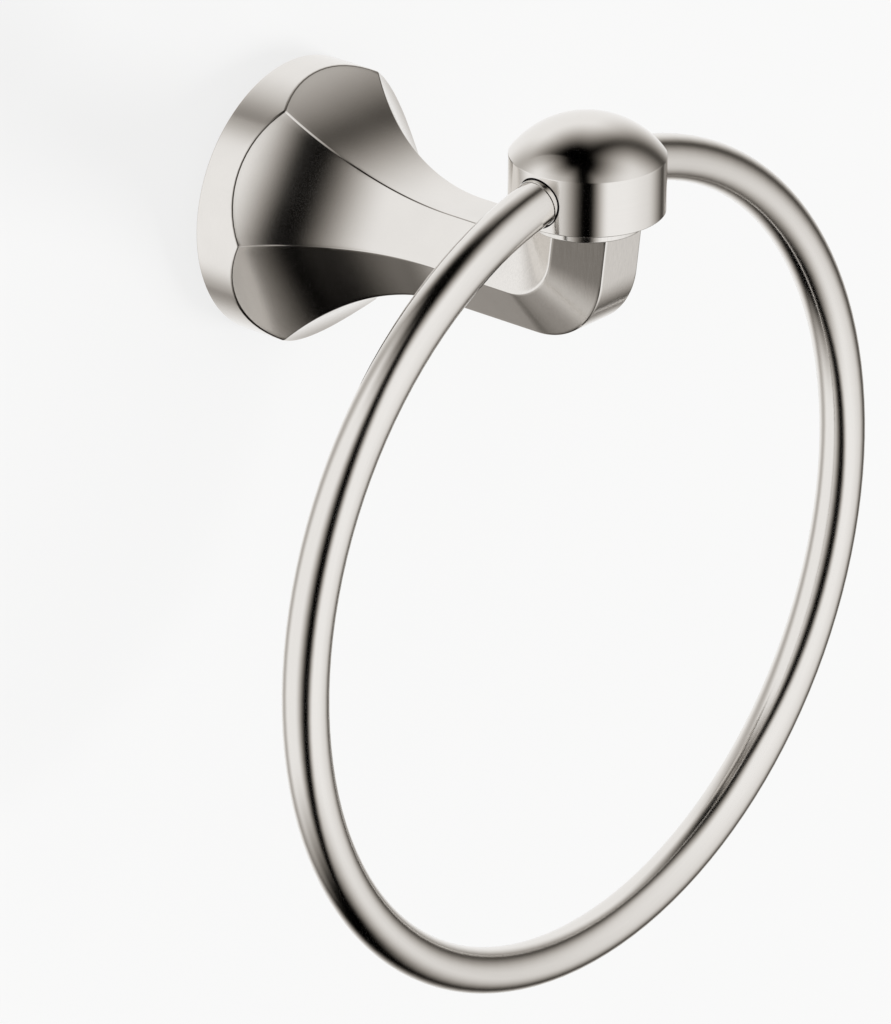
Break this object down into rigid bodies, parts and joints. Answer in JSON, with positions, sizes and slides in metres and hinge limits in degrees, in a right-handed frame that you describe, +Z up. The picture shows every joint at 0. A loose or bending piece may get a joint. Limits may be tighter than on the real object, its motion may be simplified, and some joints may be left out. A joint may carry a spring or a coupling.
{
  "type": "towel ring",
  "caption": "Wall-mounted towel ring: a hexagonal post flares to a round base and carries a domed cap that holds a round bar ring.",
  "frame": {"origin": "centre of the base's back face, where it meets the wall", "axes": "+Z up, +Y into the wall, +X to the right for someone who faces the wall"},
  "size_m": [0.1626, 0.0848, 0.1694],
  "materials": {
    "satin_nickel": "satin nickel plate with soft bright reflections",
    "zinc_plated_steel": "dull zinc plate",
    "dark_steel": "black oxide"
  },
  "bodies": {
    "root": {"post": "satin_nickel", "cap": "satin_nickel", "ring": "satin_nickel", "ring_bush_left": "satin_nickel", "ring_bush_right": "satin_nickel", "cap_stud": "zinc_plated_steel", "wall_bracket": "zinc_plated_steel", "base_screw": "dark_steel"}
  },
  "joints": []
}
